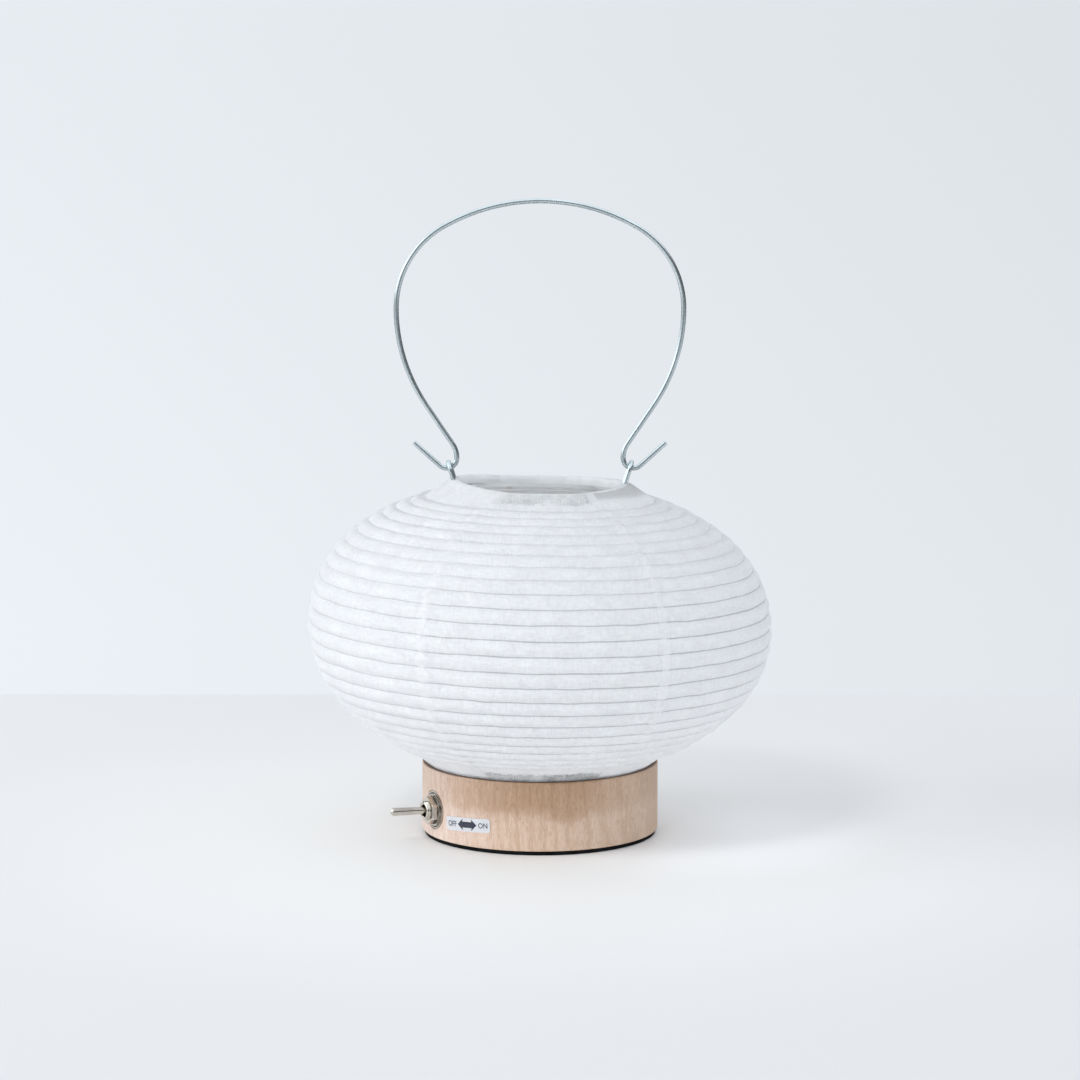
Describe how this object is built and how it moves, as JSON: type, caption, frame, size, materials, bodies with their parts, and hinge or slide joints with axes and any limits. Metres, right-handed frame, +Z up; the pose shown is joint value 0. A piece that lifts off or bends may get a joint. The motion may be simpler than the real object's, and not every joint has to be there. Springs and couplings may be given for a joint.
{
  "type": "paper table lamp",
  "caption": "Battery table lantern: a ribbed white paper shade folds down onto a turned wooden base with a toggle switch, under a wire bail.",
  "frame": {"origin": "centre of the foot pad's underside, on the table", "axes": "+Z up; -Y is the front that the picture shows; the bail's pivots lie along X"},
  "size_m": [0.149, 0.149, 0.2041],
  "materials": {
    "wood": "bare turned maple, sanded",
    "foot_pad": "black foam rubber sheet",
    "black_plastic": "moulded, satin",
    "screw_steel": "zinc plated",
    "cell_wrap": "plain printed sleeve",
    "spring_steel": "nickel plated",
    "contact_metal": "tinned brass",
    "board": "white solder mask",
    "board_black": "moulded",
    "led_phosphor": "phosphor layer",
    "frosted_plastic": "frosted, translucent",
    "lead_insulation": "stranded lead, soft insulation",
    "nickel": "nickel plated brass",
    "label": "white film with dark print",
    "galvanised_wire": "bright galvanised wire",
    "hem_paper": "doubled mulberry paper",
    "washi": "thin white mulberry paper",
    "bamboo": "split bamboo, bare"
  },
  "bodies": {
    "base": {"wood_base": "wood", "foot_pad": "foot_pad", "bottom_cover": "black_plastic", "battery_holder": "black_plastic", "switch_housing": "black_plastic", "cover_screws": "screw_steel", "holder_screws": "screw_steel", "board_screws": "screw_steel", "battery_cell_1": "cell_wrap", "battery_cell_2": "cell_wrap", "battery_springs": "spring_steel", "contact_plates": "contact_metal", "switch_terminals": "contact_metal", "led_board": "board", "board_components": "board_black", "led_emitter": "led_phosphor", "led_dome": "frosted_plastic", "hookup_wires": "lead_insulation", "switch_bushing": "nickel", "switch_washer": "nickel", "switch_lock_washer": "nickel", "switch_nut": "nickel", "switch_frame": "nickel", "switch_label": "label", "bottom_ring": "galvanised_wire", "bottom_hem": "hem_paper", "paper_panel_1": "washi", "paper_panel_2": "washi", "paper_panel_3": "washi", "paper_panel_4": "washi", "paper_panel_5": "washi", "paper_panel_6": "washi"},
    "crown": {"top_ring": "galvanised_wire", "top_hem": "hem_paper"},
    "bail": {"handle": "galvanised_wire"},
    "lever": {"switch_lever": "nickel"},
    "rocker": {"switch_rocker": "contact_metal"},
    "rib_01_hoop": {"rib_01": "bamboo"},
    "rib_02_hoop": {"rib_02": "bamboo"},
    "rib_03_hoop": {"rib_03": "bamboo"},
    "rib_04_hoop": {"rib_04": "bamboo"},
    "rib_05_hoop": {"rib_05": "bamboo"},
    "rib_06_hoop": {"rib_06": "bamboo"},
    "rib_07_hoop": {"rib_07": "bamboo"},
    "rib_08_hoop": {"rib_08": "bamboo"},
    "rib_09_hoop": {"rib_09": "bamboo"},
    "rib_10_hoop": {"rib_10": "bamboo"},
    "rib_11_hoop": {"rib_11": "bamboo"},
    "rib_12_hoop": {"rib_12": "bamboo"},
    "rib_13_hoop": {"rib_13": "bamboo"},
    "rib_14_hoop": {"rib_14": "bamboo"},
    "rib_15_hoop": {"rib_15": "bamboo"},
    "rib_16_hoop": {"rib_16": "bamboo"},
    "rib_17_hoop": {"rib_17": "bamboo"},
    "rib_18_hoop": {"rib_18": "bamboo"},
    "rib_19_hoop": {"rib_19": "bamboo"},
    "rib_20_hoop": {"rib_20": "bamboo"},
    "rib_21_hoop": {"rib_21": "bamboo"},
    "rib_22_hoop": {"rib_22": "bamboo"},
    "rib_23_hoop": {"rib_23": "bamboo"}
  },
  "joints": [
    {"name": "shade_collapse", "type": "slide", "parent": "base", "child": "crown", "axis": [0, 0, 1], "range_m": [-0.0663, 0], "deforming": ["paper_panel_1", "paper_panel_2", "paper_panel_3", "paper_panel_4", "paper_panel_5", "paper_panel_6"]},
    {"name": "handle_swing", "type": "hinge", "parent": "crown", "child": "bail", "pos_m": [0, 0, 0.11812], "axis": [1, 0, 0], "range_deg": [-100, 100]},
    {"name": "switch_toggle", "type": "hinge", "parent": "base", "child": "lever", "pos_m": [-0.0343, -0.01748, 0.01035], "axis": [0, 0, 1], "range_deg": [0, 25]},
    {"name": "rocker_tilt", "type": "hinge", "parent": "base", "child": "rocker", "pos_m": [-0.0245, -0.01248, 0.01035], "axis": [0, 0, 1], "range_deg": [-16.5, 0.5]},
    {"name": "rib_01_slide", "type": "slide", "parent": "base", "child": "rib_01_hoop", "axis": [0, 0, 1], "range_m": [-0.06341, 0.0005]},
    {"name": "rib_02_slide", "type": "slide", "parent": "base", "child": "rib_02_hoop", "axis": [0, 0, 1], "range_m": [-0.06215, 0.0005]},
    {"name": "rib_03_slide", "type": "slide", "parent": "base", "child": "rib_03_hoop", "axis": [0, 0, 1], "range_m": [-0.06069, 0.0005]},
    {"name": "rib_04_slide", "type": "slide", "parent": "base", "child": "rib_04_hoop", "axis": [0, 0, 1], "range_m": [-0.05899, 0.0005]},
    {"name": "rib_05_slide", "type": "slide", "parent": "base", "child": "rib_05_hoop", "axis": [0, 0, 1], "range_m": [-0.05704, 0.0005]},
    {"name": "rib_06_slide", "type": "slide", "parent": "base", "child": "rib_06_hoop", "axis": [0, 0, 1], "range_m": [-0.05482, 0.0005]},
    {"name": "rib_07_slide", "type": "slide", "parent": "base", "child": "rib_07_hoop", "axis": [0, 0, 1], "range_m": [-0.05233, 0.0005]},
    {"name": "rib_08_slide", "type": "slide", "parent": "base", "child": "rib_08_hoop", "axis": [0, 0, 1], "range_m": [-0.04955, 0.0005]},
    {"name": "rib_09_slide", "type": "slide", "parent": "base", "child": "rib_09_hoop", "axis": [0, 0, 1], "range_m": [-0.04651, 0.0005]},
    {"name": "rib_10_slide", "type": "slide", "parent": "base", "child": "rib_10_hoop", "axis": [0, 0, 1], "range_m": [-0.04324, 0.0005]},
    {"name": "rib_11_slide", "type": "slide", "parent": "base", "child": "rib_11_hoop", "axis": [0, 0, 1], "range_m": [-0.0398, 0.0005]},
    {"name": "rib_12_slide", "type": "slide", "parent": "base", "child": "rib_12_hoop", "axis": [0, 0, 1], "range_m": [-0.03625, 0.0005]},
    {"name": "rib_13_slide", "type": "slide", "parent": "base", "child": "rib_13_hoop", "axis": [0, 0, 1], "range_m": [-0.03266, 0.0005]},
    {"name": "rib_14_slide", "type": "slide", "parent": "base", "child": "rib_14_hoop", "axis": [0, 0, 1], "range_m": [-0.02908, 0.0005]},
    {"name": "rib_15_slide", "type": "slide", "parent": "base", "child": "rib_15_hoop", "axis": [0, 0, 1], "range_m": [-0.02561, 0.0005]},
    {"name": "rib_16_slide", "type": "slide", "parent": "base", "child": "rib_16_hoop", "axis": [0, 0, 1], "range_m": [-0.02229, 0.0005]},
    {"name": "rib_17_slide", "type": "slide", "parent": "base", "child": "rib_17_hoop", "axis": [0, 0, 1], "range_m": [-0.01918, 0.0005]},
    {"name": "rib_18_slide", "type": "slide", "parent": "base", "child": "rib_18_hoop", "axis": [0, 0, 1], "range_m": [-0.0163, 0.0005]},
    {"name": "rib_19_slide", "type": "slide", "parent": "base", "child": "rib_19_hoop", "axis": [0, 0, 1], "range_m": [-0.01367, 0.0005]},
    {"name": "rib_20_slide", "type": "slide", "parent": "base", "child": "rib_20_hoop", "axis": [0, 0, 1], "range_m": [-0.01128, 0.0005]},
    {"name": "rib_21_slide", "type": "slide", "parent": "base", "child": "rib_21_hoop", "axis": [0, 0, 1], "range_m": [-0.00913, 0.0005]},
    {"name": "rib_22_slide", "type": "slide", "parent": "base", "child": "rib_22_hoop", "axis": [0, 0, 1], "range_m": [-0.0072, 0.0005]},
    {"name": "rib_23_slide", "type": "slide", "parent": "base", "child": "rib_23_hoop", "axis": [0, 0, 1], "range_m": [-0.00549, 0.0005]}
  ],
  "couplings": [
    {"joint": "rocker_tilt", "follows": "switch_toggle", "ratio": -0.64},
    {"joint": "rib_01_slide", "follows": "shade_collapse", "ratio": 0.94875},
    {"joint": "rib_02_slide", "follows": "shade_collapse", "ratio": 0.92985},
    {"joint": "rib_03_slide", "follows": "shade_collapse", "ratio": 0.90772},
    {"joint": "rib_04_slide", "follows": "shade_collapse", "ratio": 0.88208},
    {"joint": "rib_05_slide", "follows": "shade_collapse", "ratio": 0.85268},
    {"joint": "rib_06_slide", "follows": "shade_collapse", "ratio": 0.81925},
    {"joint": "rib_07_slide", "follows": "shade_collapse", "ratio": 0.78164},
    {"joint": "rib_08_slide", "follows": "shade_collapse", "ratio": 0.73981},
    {"joint": "rib_09_slide", "follows": "shade_collapse", "ratio": 0.69397},
    {"joint": "rib_10_slide", "follows": "shade_collapse", "ratio": 0.64467},
    {"joint": "rib_11_slide", "follows": "shade_collapse", "ratio": 0.59274},
    {"joint": "rib_12_slide", "follows": "shade_collapse", "ratio": 0.53919},
    {"joint": "rib_13_slide", "follows": "shade_collapse", "ratio": 0.48496},
    {"joint": "rib_14_slide", "follows": "shade_collapse", "ratio": 0.43113},
    {"joint": "rib_15_slide", "follows": "shade_collapse", "ratio": 0.37867},
    {"joint": "rib_16_slide", "follows": "shade_collapse", "ratio": 0.32861},
    {"joint": "rib_17_slide", "follows": "shade_collapse", "ratio": 0.2817},
    {"joint": "rib_18_slide", "follows": "shade_collapse", "ratio": 0.23833},
    {"joint": "rib_19_slide", "follows": "shade_collapse", "ratio": 0.19866},
    {"joint": "rib_20_slide", "follows": "shade_collapse", "ratio": 0.16265},
    {"joint": "rib_21_slide", "follows": "shade_collapse", "ratio": 0.13019},
    {"joint": "rib_22_slide", "follows": "shade_collapse", "ratio": 0.10112},
    {"joint": "rib_23_slide", "follows": "shade_collapse", "ratio": 0.075244}
  ]
}
